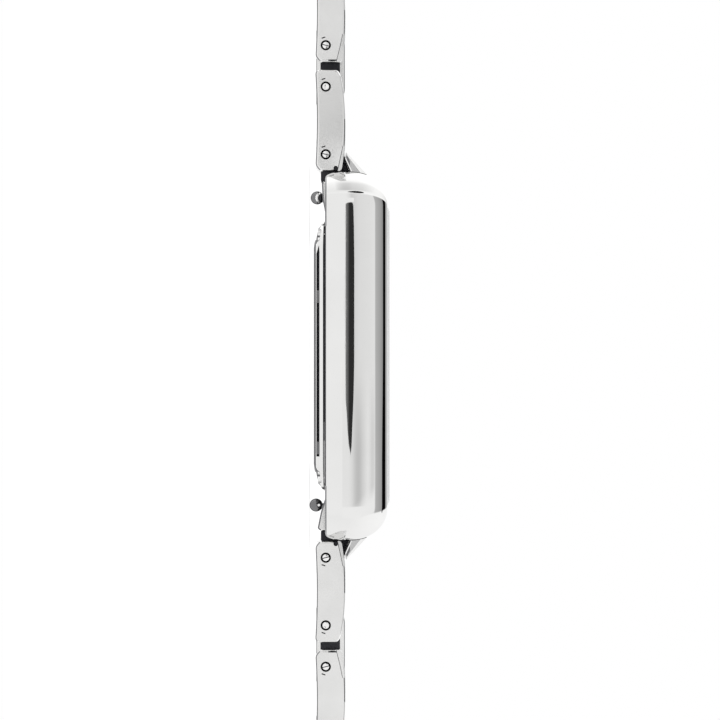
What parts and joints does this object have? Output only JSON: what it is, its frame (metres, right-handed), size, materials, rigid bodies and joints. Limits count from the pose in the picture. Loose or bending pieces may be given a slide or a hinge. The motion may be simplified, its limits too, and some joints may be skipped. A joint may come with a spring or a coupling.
{
  "type": "rectangular watch",
  "caption": "Rectangular wristwatch with two hands, a pull-out crown and a jointed H-link bracelet with a hook clasp, laid out flat and open.",
  "frame": {"origin": "centre of the back cover's flat outer face", "axes": "+Z out of the crystal, +Y to 12 o'clock along the bracelet, +X to 3 o'clock, where the crown is"},
  "size_m": [0.024, 0.1623, 0.007],
  "materials": {
    "polished_steel": "polished",
    "satin_steel": "satin",
    "pin_steel": "polished",
    "crystal_glass": "clear",
    "dial_enamel": "satin",
    "marker_steel": "polished",
    "hand_steel": "polished",
    "gasket_rubber": "matte",
    "movement_brass": "satin",
    "movement_nickel": "satin",
    "holder_plastic": "matte",
    "board_green": "gloss",
    "coil_copper": "gloss"
  },
  "bodies": {
    "case": {"case_body": "polished_steel", "crystal": "crystal_glass", "dial": "dial_enamel", "hour_markers": "marker_steel", "back_cover": "polished_steel", "back_gasket": "gasket_rubber", "case_screws": "pin_steel", "crown_tube": "polished_steel", "movement_holder": "holder_plastic", "main_plate": "movement_brass", "train_bridge": "movement_nickel", "circuit_board": "board_green", "coil": "coil_copper", "battery": "movement_nickel"},
    "minute_hand_set": {"minute_hand": "hand_steel", "cannon_pinion": "movement_brass"},
    "hour_hand_set": {"hour_hand": "hand_steel", "hour_wheel": "movement_brass"},
    "minute_wheel_set": {"minute_wheel": "movement_brass"},
    "stem_carrier": {"setting_lever": "pin_steel"},
    "crown_set": {"crown": "polished_steel", "winding_stem": "pin_steel"},
    "end_link_12": {"end_link_12": "polished_steel", "spring_bar_12": "pin_steel"},
    "release_12": {"release_pin_12": "pin_steel"},
    "outer_12_1": {"outer_link_12_1": "polished_steel", "link_pins_12_1": "pin_steel"},
    "centre_12_1": {"centre_link_12_1": "satin_steel"},
    "outer_12_2": {"outer_link_12_2": "polished_steel", "link_pins_12_2": "pin_steel"},
    "centre_12_2": {"centre_link_12_2": "satin_steel"},
    "outer_12_3": {"outer_link_12_3": "polished_steel", "link_pins_12_3": "pin_steel"},
    "centre_12_3": {"centre_link_12_3": "satin_steel"},
    "outer_12_4": {"outer_link_12_4": "polished_steel", "link_pins_12_4": "pin_steel"},
    "centre_12_4": {"centre_link_12_4": "satin_steel"},
    "outer_12_5": {"outer_link_12_5": "polished_steel", "link_pins_12_5": "pin_steel"},
    "catch": {"catch_link": "polished_steel"},
    "end_link_6": {"end_link_6": "polished_steel", "spring_bar_6": "pin_steel"},
    "release_6": {"release_pin_6": "pin_steel"},
    "outer_6_1": {"outer_link_6_1": "polished_steel", "link_pins_6_1": "pin_steel"},
    "centre_6_1": {"centre_link_6_1": "satin_steel"},
    "outer_6_2": {"outer_link_6_2": "polished_steel", "link_pins_6_2": "pin_steel"},
    "centre_6_2": {"centre_link_6_2": "satin_steel"},
    "outer_6_3": {"outer_link_6_3": "polished_steel", "link_pins_6_3": "pin_steel"},
    "centre_6_3": {"centre_link_6_3": "satin_steel"},
    "outer_6_4": {"outer_link_6_4": "polished_steel", "link_pins_6_4": "pin_steel"},
    "centre_6_4": {"centre_link_6_4": "satin_steel"},
    "outer_6_5": {"outer_link_6_5": "polished_steel", "link_pins_6_5": "pin_steel"},
    "clasp": {"clasp_base": "satin_steel", "clasp_pin": "pin_steel"},
    "clasp_cover": {"clasp_cover": "polished_steel"}
  },
  "joints": [
    {"name": "minute_hand_turn", "type": "hinge", "parent": "case", "child": "minute_hand_set", "pos_m": [0, 0, 0], "axis": [0, 0, -1], "continuous": true},
    {"name": "hour_hand_turn", "type": "hinge", "parent": "case", "child": "hour_hand_set", "pos_m": [0, 0, 0], "axis": [0, 0, -1], "continuous": true},
    {"name": "minute_wheel_turn", "type": "hinge", "parent": "case", "child": "minute_wheel_set", "pos_m": [-0.00141, 0.00141, 0], "axis": [0, 0, -1], "continuous": true},
    {"name": "crown_pull", "type": "slide", "parent": "case", "child": "stem_carrier", "axis": [1, 0, 0], "range_m": [0, 0.0005]},
    {"name": "crown_turn", "type": "hinge", "parent": "stem_carrier", "child": "crown_set", "pos_m": [0, 0, 0.0032], "axis": [1, 0, 0], "continuous": true},
    {"name": "end_link_12_swing", "type": "hinge", "parent": "case", "child": "end_link_12", "pos_m": [0, 0.0133, 0.002], "axis": [-1, 0, 0], "range_deg": [0, 8]},
    {"name": "quick_release_12", "type": "slide", "parent": "end_link_12", "child": "release_12", "axis": [1, 0, 0], "range_m": [0, 0.0011], "stiffness_N_per_m": 200},
    {"name": "outer_link_12_1_turn", "type": "hinge", "parent": "end_link_12", "child": "outer_12_1", "pos_m": [0, 0.01756, 0.00105], "axis": [-1, 0, 0], "range_deg": [-6, 20]},
    {"name": "centre_link_12_1_turn", "type": "hinge", "parent": "outer_12_1", "child": "centre_12_1", "pos_m": [0, 0.02346, 0.00105], "axis": [-1, 0, 0], "range_deg": [-6, 20]},
    {"name": "outer_link_12_2_turn", "type": "hinge", "parent": "centre_12_1", "child": "outer_12_2", "pos_m": [0, 0.02706, 0.00105], "axis": [-1, 0, 0], "range_deg": [-6, 20]},
    {"name": "centre_link_12_2_turn", "type": "hinge", "parent": "outer_12_2", "child": "centre_12_2", "pos_m": [0, 0.03296, 0.00105], "axis": [-1, 0, 0], "range_deg": [-6, 20]},
    {"name": "outer_link_12_3_turn", "type": "hinge", "parent": "centre_12_2", "child": "outer_12_3", "pos_m": [0, 0.03656, 0.00105], "axis": [-1, 0, 0], "range_deg": [-6, 20]},
    {"name": "centre_link_12_3_turn", "type": "hinge", "parent": "outer_12_3", "child": "centre_12_3", "pos_m": [0, 0.04246, 0.00105], "axis": [-1, 0, 0], "range_deg": [-6, 20]},
    {"name": "outer_link_12_4_turn", "type": "hinge", "parent": "centre_12_3", "child": "outer_12_4", "pos_m": [0, 0.04606, 0.00105], "axis": [-1, 0, 0], "range_deg": [-6, 20]},
    {"name": "centre_link_12_4_turn", "type": "hinge", "parent": "outer_12_4", "child": "centre_12_4", "pos_m": [0, 0.05196, 0.00105], "axis": [-1, 0, 0], "range_deg": [-6, 20]},
    {"name": "outer_link_12_5_turn", "type": "hinge", "parent": "centre_12_4", "child": "outer_12_5", "pos_m": [0, 0.05556, 0.00105], "axis": [-1, 0, 0], "range_deg": [-6, 20]},
    {"name": "catch_link_turn", "type": "hinge", "parent": "outer_12_5", "child": "catch", "pos_m": [0, 0.06146, 0.00105], "axis": [-1, 0, 0], "range_deg": [-6, 20]},
    {"name": "end_link_6_swing", "type": "hinge", "parent": "case", "child": "end_link_6", "pos_m": [0, -0.0133, 0.002], "axis": [-1, 0, 0], "range_deg": [-8, 0]},
    {"name": "quick_release_6", "type": "slide", "parent": "end_link_6", "child": "release_6", "axis": [1, 0, 0], "range_m": [0, 0.0011], "stiffness_N_per_m": 200},
    {"name": "outer_link_6_1_turn", "type": "hinge", "parent": "end_link_6", "child": "outer_6_1", "pos_m": [0, -0.01756, 0.00105], "axis": [-1, 0, 0], "range_deg": [-20, 6]},
    {"name": "centre_link_6_1_turn", "type": "hinge", "parent": "outer_6_1", "child": "centre_6_1", "pos_m": [0, -0.02346, 0.00105], "axis": [-1, 0, 0], "range_deg": [-20, 6]},
    {"name": "outer_link_6_2_turn", "type": "hinge", "parent": "centre_6_1", "child": "outer_6_2", "pos_m": [0, -0.02706, 0.00105], "axis": [-1, 0, 0], "range_deg": [-20, 6]},
    {"name": "centre_link_6_2_turn", "type": "hinge", "parent": "outer_6_2", "child": "centre_6_2", "pos_m": [0, -0.03296, 0.00105], "axis": [-1, 0, 0], "range_deg": [-20, 6]},
    {"name": "outer_link_6_3_turn", "type": "hinge", "parent": "centre_6_2", "child": "outer_6_3", "pos_m": [0, -0.03656, 0.00105], "axis": [-1, 0, 0], "range_deg": [-20, 6]},
    {"name": "centre_link_6_3_turn", "type": "hinge", "parent": "outer_6_3", "child": "centre_6_3", "pos_m": [0, -0.04246, 0.00105], "axis": [-1, 0, 0], "range_deg": [-20, 6]},
    {"name": "outer_link_6_4_turn", "type": "hinge", "parent": "centre_6_3", "child": "outer_6_4", "pos_m": [0, -0.04606, 0.00105], "axis": [-1, 0, 0], "range_deg": [-20, 6]},
    {"name": "centre_link_6_4_turn", "type": "hinge", "parent": "outer_6_4", "child": "centre_6_4", "pos_m": [0, -0.05196, 0.00105], "axis": [-1, 0, 0], "range_deg": [-20, 6]},
    {"name": "outer_link_6_5_turn", "type": "hinge", "parent": "centre_6_4", "child": "outer_6_5", "pos_m": [0, -0.05556, 0.00105], "axis": [-1, 0, 0], "range_deg": [-20, 6]},
    {"name": "clasp_turn", "type": "hinge", "parent": "outer_6_5", "child": "clasp", "pos_m": [0, -0.06146, 0.00105], "axis": [-1, 0, 0], "range_deg": [-20, 6]},
    {"name": "clasp_cover_open", "type": "hinge", "parent": "clasp", "child": "clasp_cover", "pos_m": [0, -0.06536, 0.00155], "axis": [-1, 0, 0], "range_deg": [0, 110]}
  ],
  "couplings": [
    {"joint": "hour_hand_turn", "follows": "minute_hand_turn", "ratio": 0.083333},
    {"joint": "minute_wheel_turn", "follows": "minute_hand_turn", "ratio": -0.33333}
  ]
}
